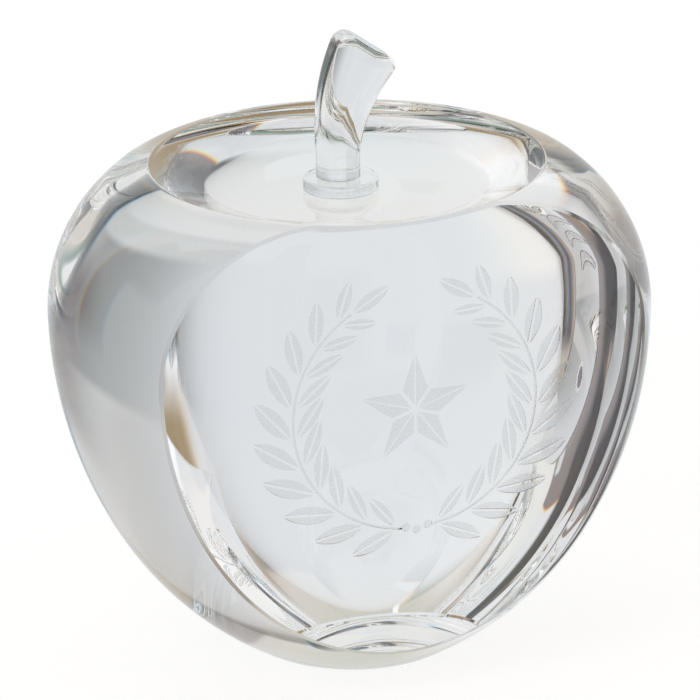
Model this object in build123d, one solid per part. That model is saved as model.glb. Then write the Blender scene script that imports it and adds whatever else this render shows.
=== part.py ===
from build123d import *

import os
from math import atan2, cos, radians, sin, tan

# Clear crystal apple: a solid turned body with a flat front window, and a stem glued into its dimple.
# Millimetres, +Z up. The origin is the centre of the base on the surface that the apple stands on.
# The window faces -Y and the stem leans towards +X.

# Body, outer form
body_radius = 40.0
widest_height = 46.9
rim_radius = 26.2
rim_height = 66.6
rim_slope = 10.2
base_radius = 15.8
base_arris = 0.3

# Body, turns of the outline's arcs, as shares of the turn of one arc between the same two points
flank_share = 0.505
side_share = 1.06
shoulder_share = 0.7315

# Body, dimple
dimple_radius = 18.75
lip_radius = 1.2
wall_slope = 20.5
dish_fall = 1.08
seat_margin = 0.4

# Body, front window
window_distance = 23.0
window_arris = 0.3

# Foot of the stem
foot_radius = 5.0
foot_height = 1.6
foot_rounding = 0.4
foot_set_back = 0.85

# Stem
stem_radius = 2.9
stem_set_back = 0.35
stem_straight = 3.25
stem_bend_radius = 24.8
stem_lean = 35.4
tip_width = 9.65
tip_depth = 6.0
tip_corner = 2.3
tip_rounding = 2.05

# Adhesive films
bond_thickness = 0.1
bond_inset = 0.15

# Stations of the stem along its bend, how late it flares, and how round its lower end is
station_shares = (0.2, 0.4, 0.6, 0.8, 1.0)
flare_power = 1.1
round_share = 0.98

# Sizes that follow
lip_end_radius = rim_radius - lip_radius * (sin(radians(rim_slope)) + sin(radians(wall_slope)))
lip_end_height = rim_height + lip_radius * (cos(radians(wall_slope)) - cos(radians(rim_slope)))
crease_height = lip_end_height - (lip_end_radius - dimple_radius) * tan(radians(wall_slope))
seat_height = crease_height - dish_fall
seat_radius = foot_set_back + foot_radius + seat_margin
stem_centre = -foot_set_back - stem_set_back
foot_base = seat_height + bond_thickness
foot_top = foot_base + foot_height
stem_base = foot_top + bond_thickness


def one_arc_turn(start, end):
    """Turn, in radians, of one arc that leaves start upright and reaches end."""
    return 2 * atan2(start[0] - end[0], abs(end[1] - start[1]))


def two_arcs(start, end, first_turn, total_turn):
    """Two tangent arcs from the upright widest point at start to end, above or below it, in radians."""
    way = 1 if end[1] > start[1] else -1
    width = start[0] - end[0]
    height = way * (end[1] - start[1])
    near_width = 1 - cos(first_turn)
    near_height = sin(first_turn)
    far_width = cos(first_turn) - cos(total_turn)
    far_height = sin(total_turn) - sin(first_turn)
    near_radius = (width * far_height - height * far_width) / (
        near_width * far_height - far_width * near_height
    )
    middle = (start[0] - near_radius * near_width, start[1] + way * near_radius * near_height)
    first = TangentArc(start, middle, tangent=(0, way))
    second = TangentArc(middle, end, tangent=first % 1)
    return first, second


def body_outline():
    """Half section of the turned body, in the plane of radius and height."""
    widest = (body_radius, widest_height)
    rim = (rim_radius, rim_height)
    base_edge = (base_radius, base_arris)
    side_turn = one_arc_turn(widest, base_edge)
    flank, underside = two_arcs(widest, base_edge, flank_share * side_turn, side_share * side_turn)
    crown_turn = radians(90 - rim_slope)
    shoulder_turn = shoulder_share * min(one_arc_turn(widest, rim), crown_turn)
    shoulder, crown = two_arcs(widest, rim, shoulder_turn, crown_turn)

    lip_end = (lip_end_radius, lip_end_height)
    crease = (dimple_radius, crease_height)
    seat_edge = (seat_radius, seat_height)
    lip = TangentArc(rim, lip_end, tangent=crown % 1)
    wall = Line(lip_end, crease)
    dish = TangentArc(seat_edge, crease, tangent=(1, 0))
    seat = Line(seat_edge, (0, seat_height))

    axis = Line((0, seat_height), (0, 0))
    base = Line((0, 0), (base_radius - base_arris, 0))
    arris = Line((base_radius - base_arris, 0), base_edge)
    return [flank, underside, shoulder, crown, lip, wall, dish, seat, axis, base, arris]


def make_apple_body():
    """Solid crystal body, turned about Z, with the flat front window and its fine ground edge."""
    section = Plane.YZ * make_face(Wire(body_outline()))
    turned = revolve(section, Axis.Z)
    window_plane = Plane(origin=(0, -window_distance, 0), z_dir=(0, 1, 0))
    cut = split(turned, window_plane, keep=Keep.TOP)
    window = cut.faces().filter_by(Axis.Y).sort_by(Axis.Y)[0]
    return chamfer(window.edges(), window_arris)


def make_stem_foot():
    """Round crystal disc that stands on the seat, set back from the lean, with its upper edge rounded."""
    disc = Pos(-foot_set_back, 0, foot_base) * Cylinder(
        foot_radius, foot_height, align=(Align.CENTER, Align.CENTER, Align.MIN)
    )
    top_edge = disc.edges().filter_by(GeomType.CIRCLE).sort_by(Axis.Z)[-1]
    return fillet(top_edge, foot_rounding)


def make_bond(radius, height, offset):
    """Flat film of cured adhesive, a little smaller than what it holds."""
    return Pos(offset, 0, height) * Cylinder(
        radius - bond_inset, bond_thickness, align=(Align.CENTER, Align.CENTER, Align.MIN)
    )


def stem_section(share):
    """Cross section of the stem at a share of its bend: round below, a flat oval at the tip."""
    flare = share**flare_power
    width = 2 * stem_radius + flare * (tip_width - 2 * stem_radius)
    depth = 2 * stem_radius + flare * (tip_depth - 2 * stem_radius)
    corner = stem_radius * round_share + flare * (tip_corner - stem_radius * round_share)
    return RectangleRounded(width, depth, corner)


def stem_place(share):
    """Plane across the stem at a share of its bend, with its normal along the stem."""
    turn = radians(stem_lean * share)
    centre = Vector(
        stem_bend_radius * (1 - cos(turn)) + stem_centre,
        0,
        stem_base + stem_straight + stem_bend_radius * sin(turn),
    )
    return Plane(origin=centre, x_dir=(cos(turn), 0, -sin(turn)), z_dir=(sin(turn), 0, cos(turn)))


def make_stem():
    """Crystal stem: a round rod that bends sideways, flattens and flares to a slanted rounded tip."""
    rod = extrude(stem_place(0) * stem_section(0), -stem_straight)
    sections = [stem_place(share) * stem_section(share) for share in (0, *station_shares)]
    horn = loft(sections)
    stem = rod + horn
    tip = stem.faces().sort_by(Axis.Z)[-1]
    return fillet(tip.edges(), tip_rounding)


parts = {
    "apple_body": make_apple_body(),
    "foot_bond": make_bond(foot_radius, seat_height, -foot_set_back),
    "stem_foot": make_stem_foot(),
    "stem_bond": make_bond(stem_radius, foot_top, stem_centre),
    "stem": make_stem(),
}

os.makedirs("parts", exist_ok=True)
for name, solid in parts.items():
    solid.label = name
    export_step(solid, f"parts/{name}.step")
    box = solid.bounding_box()
    print(name, "volume", round(solid.volume, 2), "size", [round(v, 2) for v in box.size])
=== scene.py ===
"""Clear crystal apple: a turned and polished body with an etched window, a glued foot and a bent stem.

Everything is in metres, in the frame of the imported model: +Z up, the window towards -Y, the base on Z = 0.
"""

from math import acos, atan2, ceil, cos, pi, radians, sin

import bmesh
import bpy
from bpy.props import CollectionProperty, FloatProperty, FloatVectorProperty, IntProperty, PointerProperty
from mathutils import Matrix, Vector


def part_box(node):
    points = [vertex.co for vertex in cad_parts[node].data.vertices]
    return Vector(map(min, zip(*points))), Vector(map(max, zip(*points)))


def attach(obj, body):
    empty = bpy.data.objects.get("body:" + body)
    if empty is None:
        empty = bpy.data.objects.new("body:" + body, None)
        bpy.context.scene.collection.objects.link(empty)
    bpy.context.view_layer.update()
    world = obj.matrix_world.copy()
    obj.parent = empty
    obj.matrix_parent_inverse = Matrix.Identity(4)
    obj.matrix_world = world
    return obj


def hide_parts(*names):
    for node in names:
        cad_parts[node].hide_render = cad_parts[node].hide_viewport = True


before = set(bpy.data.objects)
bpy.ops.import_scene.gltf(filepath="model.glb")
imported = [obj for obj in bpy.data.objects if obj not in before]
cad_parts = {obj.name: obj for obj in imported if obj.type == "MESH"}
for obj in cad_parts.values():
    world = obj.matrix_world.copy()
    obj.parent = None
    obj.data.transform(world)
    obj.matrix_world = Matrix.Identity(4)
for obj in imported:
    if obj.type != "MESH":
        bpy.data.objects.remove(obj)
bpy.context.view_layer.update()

bl_info = {
    "name": "Crystal Apple",
    "version": (1, 0, 0),
    "blender": (4, 5, 0),
    "location": "3D View > Sidebar > Crystal Apple",
    "description": "Builds a clear crystal apple with an etched window, its stem and a small studio",
    "category": "Add Mesh",
}

MM = 0.001
WELD = 0.0005 * MM
STEADY = 0.05 * MM
HALF_MIDRIB = 0.16 * MM
HALF_TWIG = 0.17 * MM
STAR_NOTCH = 0.4
STAR_FACET = 0.86
BODY_CREASE = radians(12)
STEM_CREASE = radians(20)
AXIS_X = Vector((1, 0, 0))
AXIS_Z = Vector((0, 0, 1))

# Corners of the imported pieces, which give the main sizes
body_low, body_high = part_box("apple_body")
foot_low, foot_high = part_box("stem_foot")
stem_low, stem_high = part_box("stem")


def length(name, description, default):
    """A property that holds a length."""
    return FloatProperty(
        name=name, description=description, default=default, min=0, unit="LENGTH", precision=5
    )


def angle(name, description, degrees):
    """A property that holds an angle, given in degrees."""
    return FloatProperty(name=name, description=description, default=radians(degrees), unit="ROTATION")


def share(name, description, default):
    """A property that holds a plain share."""
    return FloatProperty(name=name, description=description, default=default, subtype="FACTOR", min=0, max=2)


def colour(name, description, default):
    """A property that holds a colour."""
    return FloatVectorProperty(
        name=name, description=description, default=default, size=3, subtype="COLOR", min=0, max=1
    )


class BodySizes(bpy.types.PropertyGroup):
    """Sizes of the turned crystal body and of its window."""

    radius: length("Radius", "Widest radius of the body", body_high.x)
    widest_height: length("Widest height", "Height of the widest point", 46.9 * MM)
    rim_radius: length("Rim radius", "Radius where the lip begins", 26.2 * MM)
    rim_height: length("Rim height", "Height where the lip begins", 66.6 * MM)
    rim_slope: angle("Rim slope", "Outer slope where the lip begins", 10.2)
    base_radius: length("Base radius", "Radius of the polished base with its ground edge", 15.8 * MM)
    base_arris: length("Base arris", "Width of the fine ground edge of the base", 0.3 * MM)
    flank_share: share("Flank share", "Turn of the flank as a share of one arc's turn", 0.505)
    side_share: share("Side share", "Turn of flank and underside as a share of one arc's turn", 1.06)
    shoulder_share: share("Shoulder share", "Turn of the shoulder as a share of one arc's turn", 0.7315)
    dimple_radius: length("Dimple radius", "Radius of the crease round the dimple's floor", 18.75 * MM)
    lip_radius: length("Lip radius", "Radius of the lip that rolls into the dimple", 1.2 * MM)
    wall_slope: angle("Wall slope", "Slope of the dimple's wall", 20.5)
    dish_fall: length("Dish fall", "Fall of the dished floor from the crease to the seat", 1.08 * MM)
    seat_margin: length("Seat margin", "Flat seat left free round the foot", 0.4 * MM)
    window_distance: length("Window distance", "Distance of the window from the axis", -body_low.y)
    window_arris: length("Window arris", "Width of the window's fine ground edge", 0.3 * MM)
    grain: length("Mesh grain", "Longest step along the outline", 0.5 * MM)
    turns: IntProperty(name="Turns", description="Steps of the full turn about the axis", default=360, min=24)


class StemSizes(bpy.types.PropertyGroup):
    """Sizes of the foot, the stem and the adhesive films."""

    foot_radius: length("Foot radius", "Radius of the round foot", (foot_high.x - foot_low.x) / 2)
    foot_set_back: length(
        "Foot set back", "Distance of the foot from the axis", -(foot_high.x + foot_low.x) / 2
    )
    foot_rounding: length("Foot rounding", "Rounding of the foot's upper edge", 0.4 * MM)
    radius: length("Stem radius", "Radius of the stem's round lower end", 2.9 * MM)
    set_back: length("Stem set back", "Distance of the stem's lower end from the foot's centre", 0.35 * MM)
    straight: length("Straight length", "Length of the upright part", 3.1 * MM)
    bend_radius: length("Bend radius", "Radius of the bend's centre line", 24.8 * MM)
    lean: angle("Lean", "Turn of the bend from upright", 35.4)
    tip_width: length("Tip width", "Width of the flared tip", 9.65 * MM)
    tip_depth: length("Tip depth", "Depth of the flattened tip", 6.0 * MM)
    tip_corner: length("Tip corner", "Corner radius of the tip's section", 2.3 * MM)
    tip_rounding: length("Tip rounding", "Rounding of the tip's upper edge", 2.05 * MM)
    flare_power: FloatProperty(name="Flare power", description="How late the stem flares", default=1.1, min=1)
    round_share: share("Round share", "How round the section is at the lower end", 0.98)
    film_inset: length("Film inset", "How far each adhesive film stays inside its joint", 0.15 * MM)
    film_lap: length("Film lap", "How far each film wets into the glass on both sides", 0.01 * MM)
    stations: IntProperty(name="Stations", description="Steps along the bend", default=56, min=8)


class EtchSizes(bpy.types.PropertyGroup):
    """Sizes of the leaf wreath and star that are etched on the window."""

    centre_x: FloatProperty(
        name="Centre X", description="Centre of the wreath", default=1.0 * MM, unit="LENGTH"
    )
    centre_z: length("Centre height", "Height of the wreath's centre", 40.0 * MM)
    radius: length("Wreath radius", "Radius of the wreath's centre line", 16.5 * MM)
    depth: length("Etch depth", "Depth of the etched hollows", 0.09 * MM)
    bevel: length("Etch edge", "Width of the sloped edge of the hollows", 0.05 * MM)
    leaf_length: length("Leaf length", "Length of the longest leaf", 6.4 * MM)
    leaf_width: length("Leaf width", "Width of the widest outer leaf", 2.3 * MM)
    inner_width: length("Inner leaf width", "Width of the widest inner leaf", 1.75 * MM)
    leaf_pairs: IntProperty(
        name="Leaf pairs", description="Pairs of leaves on each branch", default=10, min=2
    )
    star_radius: length("Star radius", "Radius of the star's points", 8.2 * MM)


class CrystalLook(bpy.types.PropertyGroup):
    """Colours and finish of the crystal, the etching and the adhesive."""

    tint: colour("Crystal tint", "Colour of the clear crystal", (1.0, 1.0, 1.0))
    ior: FloatProperty(name="IOR", description="Refraction of the crystal", default=1.52, min=1, max=2)
    etch_tint: colour("Etch tint", "Colour of the etched surface", (0.95, 0.96, 0.97))
    etch_clear: share("Etch clearness", "How much light passes the etched surface", 0.9)
    film_tint: colour("Adhesive tint", "Colour of the cured adhesive", (0.97, 0.985, 1.0))


class StudioCard(bpy.types.PropertyGroup):
    """A soft card or panel of the studio, which the crystal mirrors and shows bent."""

    azimuth: angle("Azimuth", "Direction, from straight behind the apple towards the camera's right", 0)
    elevation: angle("Elevation", "Height above the horizon", 0)
    half_width: angle("Half width", "Half the width, as an angle", 10)
    half_height: angle("Half height", "Half the height, as an angle", 10)
    side_blur: angle("Side blur", "Softness of the left and right edges", 4)
    end_blur: angle("End blur", "Softness of the upper and lower edges", 4)
    tone: colour("Tone", "Colour of the card", (0.5, 0.5, 0.5))


class StudioLook(bpy.types.PropertyGroup):
    """Sizes and colours of the studio: camera, floor and surroundings."""

    camera_azimuth: angle("Camera azimuth", "Turn of the camera to the left of the window", 18.5118)
    camera_elevation: angle("Camera elevation", "Height of the camera over the horizon", 21.4654)
    camera_roll: angle("Camera roll", "Roll of the camera", -1.0116)
    camera_distance: length("Camera distance", "From the aim to the camera", 493 * MM)
    aim_height: length("Aim height", "Height of the point that the camera looks at", 39.6 * MM)
    lens: FloatProperty(name="Lens", description="Focal length in millimetres", default=189.792, min=10)
    floor_size: length("Floor size", "Half the side of the floor", 3.0)
    floor_gap: length("Floor gap", "Air under the polished base", 0.05 * MM)
    floor_tone: colour("Floor tone", "Colour of the pale floor", (0.8, 0.8, 0.8))
    floor_glow: share("Floor glow", "Light that the camera sees from the floor itself", 0.79)
    floor_shade: share("Floor shade", "How much of the floor's shading the camera sees", 0.5)
    fringe: angle("Fringe", "Spread of the colours at the cards' edges", 0.8)
    shift_x: FloatProperty(name="Shift X", description="Sideways shift of the lens", default=-0.000238)
    shift_y: FloatProperty(name="Shift Y", description="Upward shift of the lens", default=0.002669)
    bounces: IntProperty(
        name="Bounces", description="How often light may turn inside the crystal", default=28, min=4
    )
    cards: CollectionProperty(type=StudioCard)


# Tones of the studio from below to above: elevation in degrees and colour
STUDIO_TONES = (
    (-90, (0.753, 0.831, 0.863)),
    (-60, (0.815, 0.815, 0.791)),
    (-35, (0.745, 0.768, 0.791)),
    (-10, (0.745, 0.776, 0.807)),
    (20, (0.815, 0.839, 0.855)),
    (45, (0.701, 0.631, 0.584)),
    (90, (0.565, 0.578, 0.497)),
)

# Studio cards: azimuth, elevation, half width, half height, side blur, end blur in degrees, and tone
STUDIO_CARDS = {
    "back ceiling": (171.5, 61.7, 28.9, 11.8, 2, 11.1, (0.045, 0.042, 0.037)),
    "overhead bar": (27.6, 45.9, 48, 8.4, 10.9, 16, (0.017, 0.028, 0.023)),
    "grey side wall": (47.8, -1.4, 25.8, 37.9, 28.5, 2.3, (0.558, 0.558, 0.552)),
    "low side shade": (49.7, -21.9, 16.8, 14.1, 33.6, 2, (0.347, 0.361, 0.361)),
    "brown post": (74.7, -11.2, 17.1, 16.1, 32, 12.5, (0.072, 0.019, 0.001)),
    "right wall": (105.9, 5.1, 33.8, 49.5, 2, 4.3, (0.25, 0.227, 0.223)),
    "dark frame": (146.5, 5.5, 31.4, 20.2, 19.8, 8.4, (0.076, 0.08, 0.084)),
    "grey doorway": (165.2, 11.7, 3, 10, 6, 12.2, (0.246, 0.262, 0.309)),
    "right ceiling": (179.3, 44.3, 58.9, 16.3, 36.2, 13, (0.337, 0.246, 0.13)),
    "left wall": (-79.9, 0.4, 23.6, 28.2, 5, 2.7, (1, 1, 1)),
    "left olive post": (-67.7, 10.6, 8.6, 21.3, 2, 18.7, (0.184, 0.184, 0.078)),
    "left flag": (-80.1, 45.2, 16.2, 22.6, 2, 7.9, (0.001, 0.001, 0.001)),
    "left flag end": (-34.5, 31.7, 19.4, 10.2, 2.9, 20.5, (0.159, 0.254, 0.188)),
    "sky patch": (-66.9, 65, 6.3, 18.5, 2, 2, (0.956, 0.956, 0.956)),
    "left soft box": (-123.5, -0.8, 26.3, 60, 38.7, 40, (1, 1, 1)),
    "low bounce": (-45.2, -28.5, 21.8, 10.4, 18.7, 2.4, (0.88, 0.871, 0.855)),
    "low lines": (54, -37.4, 60, 3, 5, 2, (0.651, 0.672, 0.672)),
    "dark side strip": (77.9, -6.8, 9.2, 50.5, 4.9, 17.3, (0.001, 0.001, 0.001)),
    "front flag": (-159.5, 14.2, 10.9, 5.5, 3.6, 5.2, (0.102, 0.098, 0.089)),
}


def one_arc_turn(start, end):
    """Turn of one arc that leaves start upright and reaches end."""
    return 2 * atan2(start[0] - end[0], abs(end[1] - start[1]))


def arc_radii(start, end, first_turn, total_turn):
    """Radii of two tangent arcs from the upright widest point at start to end, above or below it."""
    width = start[0] - end[0]
    height = abs(end[1] - start[1])
    near_width = 1 - cos(first_turn)
    near_height = sin(first_turn)
    far_width = cos(first_turn) - cos(total_turn)
    far_height = sin(total_turn) - sin(first_turn)
    near_radius = (width * far_height - height * far_width) / (
        near_width * far_height - far_width * near_height
    )
    return near_radius, (width - near_radius * near_width) / far_width


class Outline:
    """An unbroken line of edges in a plane, drawn by turning and pushing its last vertex."""

    def __init__(self, bm, start, heading, grain, origin=Vector(), across=AXIS_X, up=AXIS_Z):
        self.bm = bm
        self.origin = origin
        self.across = across
        self.up = up
        self.heading = heading
        self.grain = grain
        self.first = bm.verts.new(self.place(start))
        self.last = self.first

    def place(self, point):
        """Point of the plane in space."""
        return self.origin + self.across * point[0] + self.up * point[1]

    def along(self, heading):
        """Unit vector in the plane."""
        return self.across * cos(heading) + self.up * sin(heading)

    def line(self, distance):
        """Push the last vertex straight on."""
        made = bmesh.ops.extrude_vert_indiv(self.bm, verts=[self.last])
        self.last = made["verts"][0]
        bmesh.ops.translate(self.bm, verts=[self.last], vec=self.along(self.heading) * distance)
        return self

    def arc(self, radius, turn, steps=None):
        """Turn the last vertex about a centre on its left, or on its right for a turn below zero."""
        side = 1 if turn > 0 else -1
        centre = self.last.co + self.along(self.heading + side * pi / 2) * radius
        axis = self.across.cross(self.up)
        made = bmesh.ops.spin(
            self.bm,
            geom=[self.last],
            cent=centre,
            axis=axis,
            angle=turn,
            steps=steps or max(3, ceil(radius * abs(turn) / self.grain)),
        )
        self.last = [item for item in made["geom_last"] if isinstance(item, bmesh.types.BMVert)][0]
        self.heading += turn
        return self

    def face(self, heading):
        """Point in another direction at a sharp corner."""
        self.heading = heading
        return self

    def line_to(self, point):
        """Push the last vertex to a point of the plane."""
        step = self.place(point) - self.last.co
        self.heading = atan2(step.dot(self.up), step.dot(self.across))
        return self.line(step.length)

    def close(self):
        """Bring the last vertex onto the first one, and give back the closed loop's edges in order."""
        bmesh.ops.pointmerge(self.bm, verts=[self.first, self.last], merge_co=self.first.co)
        start = self.first if self.first.is_valid else self.last
        loop = [start.link_edges[0]]
        vert = loop[0].other_vert(start)
        while vert != start:
            loop.append(next(edge for edge in vert.link_edges if edge != loop[-1]))
            vert = loop[-1].other_vert(vert)
        return loop


def turn_solid(bm, steps):
    """Turn every edge of the mesh a quarter about Z and mirror it twice into a closed skin."""
    geom = bm.verts[:] + bm.edges[:]
    bmesh.ops.spin(bm, geom=geom, cent=(0, 0, 0), axis=AXIS_Z, angle=-pi / 2, steps=steps // 4)
    bmesh.ops.remove_doubles(bm, verts=bm.verts, dist=WELD)
    for axis in ("X", "Y"):
        geom = bm.verts[:] + bm.edges[:] + bm.faces[:]
        bmesh.ops.mirror(bm, geom=geom, axis=axis, merge_dist=WELD)
    bmesh.ops.remove_doubles(bm, verts=bm.verts, dist=WELD)
    bmesh.ops.recalc_face_normals(bm, faces=bm.faces)


def mark_edges(bm, sharp_angle):
    """Smooth faces, with sharp edges where they meet at more than an angle."""
    for face in bm.faces:
        face.smooth = True
    for edge in bm.edges:
        edge.smooth = not (edge.is_manifold and edge.calc_face_angle() > sharp_angle)


def finish_piece(bm, name, materials, replaced):
    """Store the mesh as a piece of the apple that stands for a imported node."""
    mesh = bpy.data.meshes.new(name)
    bm.to_mesh(mesh)
    bm.free()
    for material in materials:
        mesh.materials.append(material)
    piece = bpy.data.objects.new(name, mesh)
    bpy.context.scene.collection.objects.link(piece)
    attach(piece, "root")
    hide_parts(replaced)
    return piece


def node(tree, kind, values=None, **settings):
    """Add a shader node with settings, and with values or links for its inputs."""
    made = tree.nodes.new(kind)
    for key, value in settings.items():
        setattr(made, key, value)
    for key, value in (values or {}).items():
        named = [socket for socket in made.inputs if socket.identifier == key]
        target = named[0] if named else made.inputs[key]
        if isinstance(value, bpy.types.NodeSocket):
            tree.links.new(value, target)
        else:
            target.default_value = value
    return made


def blank_material(name):
    """A material with only its output and a Principled shader."""
    material = bpy.data.materials.new(name)
    material.use_nodes = True
    return material, material.node_tree, material.node_tree.nodes["Principled BSDF"]


def crystal_material(name, look, wave_height=0, wave_scale=1):
    """Clear polished crystal, with slight waves where it has a wave height."""
    material, tree, shader = blank_material(name)
    shader.inputs["Base Color"].default_value = (*look.tint, 1)
    shader.inputs["Transmission Weight"].default_value = 1
    shader.inputs["Roughness"].default_value = 0
    shader.inputs["IOR"].default_value = look.ior
    if not wave_height:
        return material
    place = node(tree, "ShaderNodeTexCoord").outputs["Object"]
    waves = node(tree, "ShaderNodeTexNoise", {"Vector": place, "Scale": wave_scale, "Detail": 1.0})
    bump = node(
        tree, "ShaderNodeBump", {"Height": waves.outputs[0], "Strength": 1.0, "Distance": wave_height}
    )
    tree.links.new(bump.outputs[0], shader.inputs["Normal"])
    return material


def ground_material(look):
    """The finely ground edges round the window and the base."""
    material, tree, shader = blank_material("ground_edge")
    shader.inputs["Base Color"].default_value = (*look.etch_tint, 1)
    shader.inputs["Transmission Weight"].default_value = 0.85
    shader.inputs["IOR"].default_value = look.ior
    place = node(tree, "ShaderNodeTexCoord").outputs["Object"]
    grit = node(tree, "ShaderNodeTexNoise", {"Vector": place, "Scale": 2500.0, "Detail": 2.0})
    rough = node(tree, "ShaderNodeMapRange", {"Value": grit.outputs[0], "To Min": 0.06, "To Max": 0.16})
    tree.links.new(rough.outputs[0], shader.inputs["Roughness"])
    return material


def etched_material(look):
    """The frosted grain of the etched hollows."""
    material, tree, shader = blank_material("etched_frost")
    shader.inputs["Base Color"].default_value = (*look.etch_tint, 1)
    shader.inputs["Transmission Weight"].default_value = look.etch_clear
    shader.inputs["IOR"].default_value = look.ior
    place = node(tree, "ShaderNodeTexCoord").outputs["Object"]
    grit = node(tree, "ShaderNodeTexNoise", {"Vector": place, "Scale": 4500.0, "Detail": 2.0})
    rough = node(
        tree, "ShaderNodeMapRange", {"Value": grit.outputs[0], "To Min": 0.2, "To Max": 0.36}
    )
    bump = node(tree, "ShaderNodeBump", {"Height": grit.outputs[0], "Strength": 0.6, "Distance": 0.05 * MM})
    tree.links.new(rough.outputs[0], shader.inputs["Roughness"])
    tree.links.new(bump.outputs[0], shader.inputs["Normal"])
    return material


def adhesive_material(look):
    """Cured clear adhesive with fine bubbles."""
    material, tree, shader = blank_material("cured_adhesive")
    shader.inputs["Base Color"].default_value = (*look.film_tint, 1)
    shader.inputs["Transmission Weight"].default_value = 1
    shader.inputs["IOR"].default_value = look.ior
    place = node(tree, "ShaderNodeTexCoord").outputs["Object"]
    bubbles = node(tree, "ShaderNodeTexVoronoi", {"Vector": place, "Scale": 2600.0})
    dots = node(
        tree, "ShaderNodeMapRange", {"Value": bubbles.outputs[0], "From Min": 0.18, "From Max": 0.3}
    )
    bump = node(tree, "ShaderNodeBump", {"Height": dots.outputs[0], "Strength": 0.5, "Distance": 0.01 * MM})
    shader.inputs["Roughness"].default_value = 0.03
    tree.links.new(bump.outputs[0], shader.inputs["Normal"])
    return material


def draw_body(bm, sizes, seat_radius):
    """Half section of the body, from the middle of the base over the rim to the middle of the seat."""
    widest = (sizes.radius, sizes.widest_height)
    base_edge = (sizes.base_radius, sizes.base_arris)
    rim = (sizes.rim_radius, sizes.rim_height)
    side_turn = one_arc_turn(widest, base_edge)
    flank_turn = sizes.flank_share * side_turn
    both_turn = sizes.side_share * side_turn
    flank_radius, underside_radius = arc_radii(widest, base_edge, flank_turn, both_turn)
    crown_turn = pi / 2 - sizes.rim_slope
    shoulder_turn = sizes.shoulder_share * min(one_arc_turn(widest, rim), crown_turn)
    shoulder_radius, crown_radius = arc_radii(widest, rim, shoulder_turn, crown_turn)
    lip_width = sizes.lip_radius * (sin(sizes.rim_slope) + sin(sizes.wall_slope))
    wall_length = (sizes.rim_radius - lip_width - sizes.dimple_radius) / cos(sizes.wall_slope)
    dish_width = sizes.dimple_radius - seat_radius
    dish_turn = 2 * atan2(sizes.dish_fall, dish_width)
    dish_radius = dish_width / sin(dish_turn)

    line = Outline(bm, (0, 0), 0, sizes.grain)
    line.line(sizes.base_radius - sizes.base_arris - STEADY)
    line.line(STEADY)
    line.line_to(base_edge)
    line.face(pi / 2 - both_turn)
    line.arc(underside_radius, both_turn - flank_turn)
    line.arc(flank_radius, flank_turn)
    line.arc(shoulder_radius, shoulder_turn)
    line.arc(crown_radius, crown_turn - shoulder_turn)
    line.arc(sizes.lip_radius, sizes.rim_slope + sizes.wall_slope, 12)
    for step in (STEADY, STEADY, wall_length - 4 * STEADY, STEADY, STEADY):
        line.line(step)
    line.face(pi + dish_turn)
    line.arc(dish_radius, -dish_turn)
    line.line(STEADY)
    line.line(seat_radius - STEADY)


def cut_window(bm, sizes):
    """Cut the flat window and its fine ground edge, and give back the window's face and the edge's faces."""
    surface_angle = acos(sizes.window_distance / sizes.radius)
    edge_depth = sizes.window_arris * sin(surface_angle)
    edge_width = sizes.window_arris * (1 + cos(surface_angle))
    geom = bm.verts[:] + bm.edges[:] + bm.faces[:]
    plane = Vector((0, edge_depth - sizes.window_distance, 0))
    bmesh.ops.bisect_plane(bm, geom=geom, plane_co=plane, plane_no=(0, -1, 0), clear_outer=True)
    rim = [edge for edge in bm.edges if edge.is_boundary]
    window = bmesh.ops.contextual_create(bm, geom=rim)["faces"][0]
    window.normal_update()
    if window.normal.y > 0:
        window.normal_flip()
    made = bmesh.ops.inset_region(
        bm, faces=[window], thickness=edge_width, depth=edge_depth, use_even_offset=True, use_boundary=True
    )
    return window, made["faces"]


def window_outline(bm, sizes, point, heading):
    """Start an outline on the window at a point, with its heading."""
    origin = Vector((0, -sizes.window_distance, 0))
    return Outline(bm, point, heading, 0.35 * MM, origin)


def draw_half_leaf(bm, sizes, base, heading, leaf_length, half_width, side):
    """Half of a leaf: an arc from its base to its tip and a straight midrib back."""
    bulge = 2 * atan2(2 * half_width, leaf_length)
    radius = leaf_length / (2 * sin(bulge))
    line = window_outline(bm, sizes, base, heading + side * bulge)
    line.arc(radius, -side * 2 * bulge, 9)
    line.line_to(base)
    return line.close()


def draw_leaf(bm, sizes, base, heading, leaf_length, leaf_width):
    """Two half leaves with a clear midrib between them."""
    loops = []
    for side in (-1, 1):
        gap = HALF_MIDRIB * side
        shifted = (base[0] - sin(heading) * gap, base[1] + cos(heading) * gap)
        half_width = leaf_width / 2 - abs(gap)
        loops.append(draw_half_leaf(bm, sizes, shifted, heading, leaf_length, half_width, side))
    return loops


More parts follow.
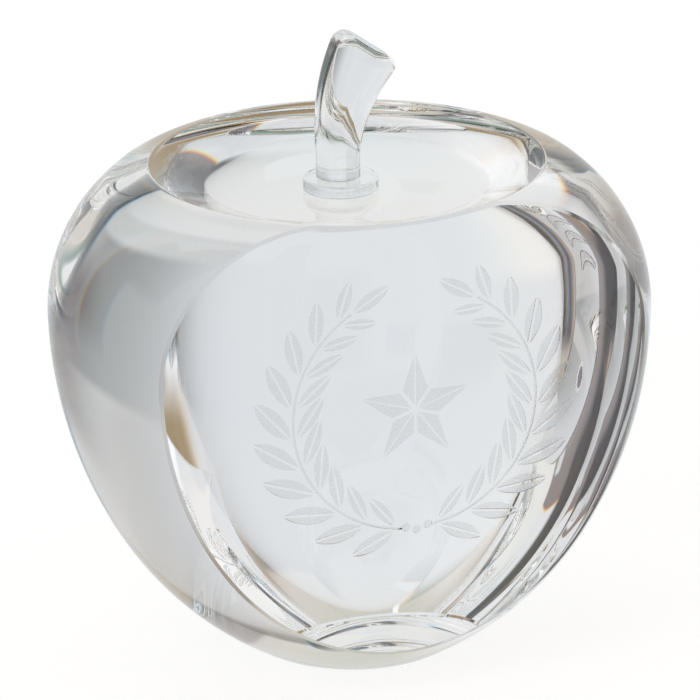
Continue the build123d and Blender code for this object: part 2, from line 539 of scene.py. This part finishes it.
def draw_branch(bm, sizes, etch, side):
    """One branch of the wreath, from the bottom up one side: a thin twig, leaf pairs and an end leaf."""
    loops = []
    count = etch.leaf_pairs
    sweep = radians(142)
    start = -pi / 2 + side * radians(7)

    def at(turn, offset):
        """Point on the branch's arc, moved outwards by an offset."""
        bearing = start + side * turn
        reach = etch.radius + offset
        return (etch.centre_x + reach * cos(bearing), etch.centre_z + reach * sin(bearing))

    line = window_outline(bm, sizes, at(0, HALF_TWIG), start + side * pi / 2)
    line.arc(etch.radius + HALF_TWIG, side * sweep, 60)
    line.line_to(at(sweep, -HALF_TWIG))
    line.face(start + side * sweep - side * pi / 2)
    line.arc(etch.radius - HALF_TWIG, -side * sweep, 60)
    line.line_to(at(0, HALF_TWIG))
    loops.append(line.close())

    for index in range(count):
        share_done = index / (count - 1)
        turn = sweep * (0.03 + 0.93 * share_done)
        ahead = start + side * turn + side * pi / 2
        scale = 0.80 + 0.32 * sin(pi * min(1, 0.15 + share_done * 0.85))
        for way, spread, leaf_length, leaf_width in (
            (-1, radians(40), 0.86 * etch.leaf_length, etch.inner_width),
            (1, radians(35), etch.leaf_length, etch.leaf_width),
        ):
            base = at(turn, way * 0.55 * MM)
            bearing = ahead - side * way * spread
            loops += draw_leaf(bm, sizes, base, bearing, leaf_length * scale, leaf_width * scale)
    ahead = start + side * sweep + side * pi / 2
    tip = at(sweep + 0.5 * MM / etch.radius, 0)
    loops += draw_leaf(bm, sizes, tip, ahead, 0.85 * etch.leaf_length, 0.85 * etch.leaf_width)
    return loops


def draw_star(bm, sizes, etch):
    """Five-pointed star of ten facets, with clear lines between them."""
    loops = []
    centre = Vector((etch.centre_x, etch.centre_z))
    corners = []
    for index in range(10):
        bearing = pi / 2 + index * pi / 5
        reach = etch.star_radius * (1 if index % 2 == 0 else STAR_NOTCH)
        corners.append(centre + Vector((cos(bearing), sin(bearing))) * reach)
    for index in range(10):
        points = [centre, corners[index], corners[(index + 1) % 10]]
        middle = (points[0] + points[1] + points[2]) / 3
        points = [middle + (point - middle) * STAR_FACET for point in points]
        line = window_outline(bm, sizes, points[0], 0)
        line.line_to(points[1])
        line.line_to(points[2])
        line.line_to(points[0])
        loops.append(line.close())
    return loops


def draw_berry(bm, sizes, point, radius):
    """Small round berry."""
    line = window_outline(bm, sizes, point, 0)
    line.arc(radius, 2 * pi, 16)
    return line.close()


def etched_pattern(sizes, etch):
    """Mesh of the sunk wreath and star alone, with their outlines marked as seams."""
    bm = bmesh.new()
    loops = draw_branch(bm, sizes, etch, -1) + draw_branch(bm, sizes, etch, 1)
    loops += draw_star(bm, sizes, etch)
    for place in (-1, 0, 1):
        drop = (0.9 - abs(place) * 0.5) * MM
        point = (etch.centre_x + place * 1.5 * MM, etch.centre_z - etch.radius - drop)
        loops.append(draw_berry(bm, sizes, point, 0.6 * MM))
    hollows = [bmesh.ops.contextual_create(bm, geom=loop)["faces"][0] for loop in loops]
    for face in hollows:
        face.normal_update()
        if face.normal.y > 0:
            face.normal_flip()
    made = bmesh.ops.inset_region(
        bm, faces=hollows, thickness=etch.bevel, depth=-etch.depth, use_even_offset=True, use_boundary=True
    )
    for face in hollows + made["faces"]:
        face.material_index = 2
    for edge in bm.edges:
        edge.seam = edge.is_boundary
    mesh = bpy.data.meshes.new("etched_pattern")
    bm.to_mesh(mesh)
    bm.free()
    return mesh


def etch_window(bm, window, pattern):
    """Set the etched pattern into the window."""
    rims = window.edges[:]
    bmesh.ops.delete(bm, geom=[window], context="FACES_ONLY")
    bm.from_mesh(pattern)
    rims += [edge for edge in bm.edges if edge.seam]
    bmesh.ops.triangle_fill(bm, edges=rims, use_beauty=True, use_dissolve=False, normal=(0, -1, 0))
    bpy.data.meshes.remove(pattern)


def stem_ring(bm, sizes, share_done, inset):
    """Rounded section of the stem at a share of its bend, made smaller by an inset."""
    turn = sizes.lean * share_done
    flare = share_done**sizes.flare_power
    width = 2 * sizes.radius + flare * (sizes.tip_width - 2 * sizes.radius) - 2 * inset
    depth = 2 * sizes.radius + flare * (sizes.tip_depth - 2 * sizes.radius) - 2 * inset
    corner = sizes.radius * sizes.round_share
    corner += flare * (sizes.tip_corner - corner) - inset
    centre = Vector(
        (
            sizes.bend_radius * (1 - cos(turn)) - sizes.foot_set_back - sizes.set_back,
            0,
            stem_low.z + sizes.straight + sizes.bend_radius * sin(turn),
        )
    )
    across = Vector((cos(turn), 0, -sin(turn)))
    line = Outline(bm, (width / 2, corner - depth / 2), pi / 2, 1, centre, across, Vector((0, 1, 0)))
    for side in (depth, width, depth, width):
        line.line(side - 2 * corner)
        line.arc(corner, pi / 2, 14)
    return line.close()


def join_rings(bm, rings):
    """Skin between neighbouring rings."""
    for lower, upper in zip(rings, rings[1:]):
        edges = [edge for edge in lower + upper if edge.is_valid]
        bmesh.ops.bridge_loops(bm, edges=edges)


def cap_ring(bm, ring):
    """Close a ring with a flat face and a narrow flat band round it."""
    edges = [edge for edge in ring if edge.is_valid]
    cap = bmesh.ops.contextual_create(bm, geom=edges)["faces"][0]
    cap.normal_update()
    bmesh.ops.inset_region(bm, faces=[cap], thickness=0.04 * MM, use_even_offset=True, use_boundary=True)


def turned_disc(bm, radius, bottom, top, rounding):
    """Round disc with its upper edge rounded."""
    line = Outline(bm, (0, bottom), 0, 0.05 * MM)
    line.line(radius)
    line.face(pi / 2)
    line.line(top - bottom - rounding)
    if rounding > 0:
        line.arc(rounding, pi / 2, 10)
    line.face(pi)
    line.line(radius - rounding)
    turn_solid(bm, 192)


class CRYSTALAPPLE_OT_body(bpy.types.Operator):
    """Build the turned crystal body with its etched window"""

    bl_idname = "crystal_apple.body"
    bl_label = "Crystal body"

    def execute(self, context):
        sizes = context.scene.apple_body_sizes
        look = context.scene.apple_look
        stem = context.scene.apple_stem_sizes
        bm = bmesh.new()
        draw_body(bm, sizes, stem.foot_set_back + stem.foot_radius + sizes.seat_margin)
        turn_solid(bm, sizes.turns)
        window, edge_faces = cut_window(bm, sizes)
        etch_window(bm, window, etched_pattern(sizes, context.scene.apple_etch_sizes))
        bmesh.ops.recalc_face_normals(bm, faces=bm.faces)
        if not all(edge.is_manifold for edge in bm.edges):
            raise RuntimeError("The body's skin isn't closed")
        mark_edges(bm, BODY_CREASE)
        for face in edge_faces:
            face.material_index = 1
        materials = [
            crystal_material("polished_crystal", look),
            ground_material(look),
            etched_material(look),
        ]
        finish_piece(bm, "turned_body", materials, "apple_body")
        return {"FINISHED"}


class CRYSTALAPPLE_OT_stem(bpy.types.Operator):
    """Build the bent and flared crystal stem and its round foot"""

    bl_idname = "crystal_apple.stem"
    bl_label = "Stem and foot"

    def execute(self, context):
        sizes = context.scene.apple_stem_sizes
        look = context.scene.apple_look
        bend_length = sizes.bend_radius * sizes.lean
        steps = sizes.stations
        bm = bmesh.new()
        rings = []
        straight_foot = stem_ring(bm, sizes, 0, 0)
        verts = list({vert for edge in straight_foot if edge.is_valid for vert in edge.verts})
        bmesh.ops.translate(bm, verts=verts, vec=(0, 0, -sizes.straight))
        rings.append(straight_foot)
        rounding_start = 1 - sizes.tip_rounding / bend_length
        for index in range(steps + 1):
            rings.append(stem_ring(bm, sizes, rounding_start * index / steps, 0))
        for index in range(1, 13):
            turn = pi / 2 * index / 12
            share_done = rounding_start + (1 - rounding_start) * sin(turn)
            rings.append(stem_ring(bm, sizes, share_done, sizes.tip_rounding * (1 - cos(turn))))
        join_rings(bm, rings)
        cap_ring(bm, rings[0])
        cap_ring(bm, rings[-1])
        bmesh.ops.recalc_face_normals(bm, faces=bm.faces)
        mark_edges(bm, STEM_CREASE)
        material = crystal_material("fire_polished_crystal", look, 0.012 * MM, 260.0)
        finish_piece(bm, "bent_stem", [material], "stem")

        bm = bmesh.new()
        turned_disc(bm, sizes.foot_radius, foot_low.z, foot_high.z, sizes.foot_rounding)
        bmesh.ops.translate(bm, verts=bm.verts, vec=(-sizes.foot_set_back, 0, 0))
        mark_edges(bm, STEM_CREASE)
        finish_piece(bm, "round_foot", [material], "stem_foot")
        return {"FINISHED"}


class CRYSTALAPPLE_OT_films(bpy.types.Operator):
    """Build the two films of cured adhesive, wetted into the crystal on both sides"""

    bl_idname = "crystal_apple.films"
    bl_label = "Adhesive films"

    def execute(self, context):
        sizes = context.scene.apple_stem_sizes
        material = adhesive_material(context.scene.apple_look)
        for name, replaced in (("foot_film", "foot_bond"), ("stem_film", "stem_bond")):
            low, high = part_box(replaced)
            bm = bmesh.new()
            lap = sizes.film_lap
            turned_disc(bm, (high.x - low.x) / 2, low.z - lap, high.z + lap, 0)
            bmesh.ops.translate(bm, verts=bm.verts, vec=((high.x + low.x) / 2, 0, 0))
            mark_edges(bm, STEM_CREASE)
            finish_piece(bm, name, [material], replaced)
        return {"FINISHED"}


class CRYSTALAPPLE_OT_studio(bpy.types.Operator):
    """Set up the pale floor, the soft studio surroundings and the camera"""

    bl_idname = "crystal_apple.studio"
    bl_label = "Studio"

    def execute(self, context):
        studio = context.scene.apple_studio
        if not studio.cards:
            for name, values in STUDIO_CARDS.items():
                card = studio.cards.add()
                card.name = name
                card.azimuth, card.elevation = radians(values[0]), radians(values[1])
                card.half_width, card.half_height = radians(values[2]), radians(values[3])
                card.side_blur, card.end_blur = radians(values[4]), radians(values[5])
                card.tone = values[6]
        build_world(context.scene, studio)
        build_floor(studio)
        place_camera(context.scene, studio)
        context.scene.view_settings.view_transform = "Standard"
        for limit in ("max_bounces", "transmission_bounces", "glossy_bounces"):
            setattr(context.scene.cycles, limit, studio.bounces)
        return {"FINISHED"}


def build_world(scene, studio):
    """Surroundings that the crystal bends and mirrors: tones by height, then the soft cards."""
    world = bpy.data.worlds.new("soft_studio")
    world.use_nodes = True
    scene.world = world
    tree = world.node_tree
    background = tree.nodes["Background"]
    direction = node(tree, "ShaderNodeTexCoord").outputs["Generated"]
    turned = node(
        tree,
        "ShaderNodeVectorRotate",
        {"Vector": direction, "Angle": studio.camera_azimuth},
        rotation_type="Z_AXIS",
    )
    parts = node(tree, "ShaderNodeSeparateXYZ", {0: turned.outputs[0]})
    azimuth = node(
        tree, "ShaderNodeMath", {0: parts.outputs["X"], 1: parts.outputs["Y"]}, operation="ARCTAN2"
    )
    elevation = node(tree, "ShaderNodeMath", {0: parts.outputs["Z"]}, operation="ARCSINE").outputs[0]
    spread = (studio.fringe, 0, -studio.fringe)
    azimuths = node(
        tree, "ShaderNodeVectorMath", {0: azimuth.outputs[0], 1: spread}, operation="ADD"
    ).outputs[0]

    level = node(
        tree, "ShaderNodeMapRange", {"Value": elevation, "From Min": -pi / 2, "From Max": pi / 2}
    )
    ramp = node(tree, "ShaderNodeValToRGB", {0: level.outputs[0]})
    stops = ramp.color_ramp.elements
    while len(stops) < len(STUDIO_TONES):
        stops.new(0.5)
    for stop, (degrees, tone) in zip(stops, STUDIO_TONES):
        stop.position = (degrees + 90) / 180
        stop.color = (*tone, 1)
    seen = ramp.outputs[0]

    for card in studio.cards:
        offset = node(
            tree,
            "ShaderNodeVectorMath",
            {0: azimuths, 1: (card.azimuth,) * 3},
            operation="SUBTRACT",
        )
        wrapped = node(
            tree,
            "ShaderNodeVectorMath",
            {0: offset.outputs[0], 1: (pi,) * 3, 2: (-pi,) * 3},
            operation="WRAP",
        )
        beside = node(tree, "ShaderNodeVectorMath", {0: wrapped.outputs[0]}, operation="ABSOLUTE")
        sides = node(
            tree,
            "ShaderNodeMapRange",
            {
                "Vector": beside.outputs[0],
                "From_Min_FLOAT3": (card.half_width - card.side_blur / 2,) * 3,
                "From_Max_FLOAT3": (card.half_width + card.side_blur / 2,) * 3,
                "To_Min_FLOAT3": (1, 1, 1),
                "To_Max_FLOAT3": (0, 0, 0),
            },
            data_type="FLOAT_VECTOR",
            interpolation_type="SMOOTHSTEP",
        )
        height = node(tree, "ShaderNodeMath", {0: elevation, 1: card.elevation}, operation="SUBTRACT")
        above = node(tree, "ShaderNodeMath", {0: height.outputs[0]}, operation="ABSOLUTE")
        ends = node(
            tree,
            "ShaderNodeMapRange",
            {
                "Value": above.outputs[0],
                "From Min": card.half_height - card.end_blur / 2,
                "From Max": card.half_height + card.end_blur / 2,
                "To Min": 1,
                "To Max": 0,
            },
            interpolation_type="SMOOTHSTEP",
        )
        covered = node(
            tree,
            "ShaderNodeVectorMath",
            {0: sides.outputs["Vector"], "Scale": ends.outputs[0]},
            operation="SCALE",
        )
        mixed = node(
            tree,
            "ShaderNodeMix",
            {"Factor_Vector": covered.outputs[0], "A_Vector": seen, "B_Vector": card.tone},
            data_type="VECTOR",
            factor_mode="NON_UNIFORM",
        )
        seen = mixed.outputs[1]

    path = node(tree, "ShaderNodeLightPath")
    shown = node(
        tree,
        "ShaderNodeMix",
        {"Factor_Float": path.outputs["Is Camera Ray"], "A_Color": seen, "B_Color": (1, 1, 1, 1)},
        data_type="RGBA",
    )
    tree.links.new(shown.outputs[2], background.inputs["Color"])
    background.inputs["Strength"].default_value = 1


def build_floor(studio):
    """Pale floor just under the polished base; the camera sees it almost white, with a faint soft shadow."""
    bm = bmesh.new()
    bmesh.ops.create_grid(bm, x_segments=1, y_segments=1, size=studio.floor_size)
    bmesh.ops.translate(bm, verts=bm.verts, vec=(0, 0, -studio.floor_gap))
    mesh = bpy.data.meshes.new("pale_floor")
    bm.to_mesh(mesh)
    bm.free()
    floor = bpy.data.objects.new("pale_floor", mesh)
    bpy.context.scene.collection.objects.link(floor)
    floor.visible_transmission = False
    floor.visible_glossy = False
    material, tree, shader = blank_material("pale_floor")
    shader.inputs["Base Color"].default_value = (*studio.floor_tone, 1)
    shader.inputs["Roughness"].default_value = 0.9
    shader.inputs["Specular IOR Level"].default_value = 0
    path = node(tree, "ShaderNodeLightPath")
    glow = node(tree, "ShaderNodeEmission", {"Strength": studio.floor_glow})
    shade = node(
        tree, "ShaderNodeBsdfDiffuse", {"Color": (studio.floor_shade,) * 3 + (1,)}
    )
    camera_look = node(tree, "ShaderNodeAddShader", {0: glow.outputs[0], 1: shade.outputs[0]})
    mixed = node(
        tree,
        "ShaderNodeMixShader",
        {0: path.outputs["Is Camera Ray"], 1: shader.outputs[0], 2: camera_look.outputs[0]},
    )
    tree.links.new(mixed.outputs[0], tree.nodes["Material Output"].inputs["Surface"])
    mesh.materials.append(material)


def place_camera(scene, studio):
    """Camera at the viewing angle of the photograph."""
    turn = studio.camera_azimuth
    rise = studio.camera_elevation
    away = Vector((-sin(turn) * cos(rise), -cos(turn) * cos(rise), sin(rise)))
    right = Vector((cos(turn), -sin(turn), 0))
    up = right.cross(-away)
    roll = studio.camera_roll
    rolled_right = cos(roll) * right + sin(roll) * up
    rolled_up = cos(roll) * up - sin(roll) * right
    aim = Vector((0, 0, studio.aim_height))
    lens = bpy.data.cameras.new("studio_camera")
    lens.lens = studio.lens
    lens.sensor_width = 36
    lens.shift_x = studio.shift_x
    lens.shift_y = studio.shift_y
    lens.clip_start = 0.01
    camera = bpy.data.objects.new("studio_camera", lens)
    scene.collection.objects.link(camera)
    axes = Matrix((rolled_right, rolled_up, away)).transposed().to_4x4()
    camera.matrix_world = Matrix.Translation(aim + away * studio.camera_distance) @ axes
    scene.camera = camera


class CRYSTALAPPLE_PT_panel(bpy.types.Panel):
    """Sizes, colours and builders of the crystal apple"""

    bl_label = "Crystal Apple"
    bl_idname = "CRYSTALAPPLE_PT_panel"
    bl_space_type = "VIEW_3D"
    bl_region_type = "UI"
    bl_category = "Crystal Apple"

    def draw(self, context):
        layout = self.layout
        scene = context.scene
        for title, group in (
            ("Body", scene.apple_body_sizes),
            ("Stem", scene.apple_stem_sizes),
            ("Etching", scene.apple_etch_sizes),
            ("Crystal", scene.apple_look),
            ("Studio", scene.apple_studio),
        ):
            box = layout.box()
            box.label(text=title)
            for name in group.bl_rna.properties.keys():
                if name not in {"rna_type", "name", "cards"}:
                    box.prop(group, name)
        for item in BUILDERS:
            layout.operator(item.bl_idname)


BUILDERS = (CRYSTALAPPLE_OT_body, CRYSTALAPPLE_OT_stem, CRYSTALAPPLE_OT_films, CRYSTALAPPLE_OT_studio)

GROUPS = {
    "apple_body_sizes": BodySizes,
    "apple_stem_sizes": StemSizes,
    "apple_etch_sizes": EtchSizes,
    "apple_look": CrystalLook,
    "apple_studio": StudioLook,
}


def register():
    """Register the classes and hang the settings on the scene."""
    bpy.utils.register_class(StudioCard)
    for name, group in GROUPS.items():
        bpy.utils.register_class(group)
        setattr(bpy.types.Scene, name, PointerProperty(type=group))
    for item in BUILDERS:
        bpy.utils.register_class(item)
    bpy.utils.register_class(CRYSTALAPPLE_PT_panel)


def unregister():
    """Take the classes and settings away again."""
    bpy.utils.unregister_class(CRYSTALAPPLE_PT_panel)
    for item in reversed(BUILDERS):
        bpy.utils.unregister_class(item)
    for name, group in reversed(GROUPS.items()):
        delattr(bpy.types.Scene, name)
        bpy.utils.unregister_class(group)
    bpy.utils.unregister_class(StudioCard)


def main():
    """Build every piece and the studio."""
    register()
    bpy.ops.crystal_apple.body()
    bpy.ops.crystal_apple.stem()
    bpy.ops.crystal_apple.films()
    bpy.ops.crystal_apple.studio()


if __name__ == "__main__":
    main()
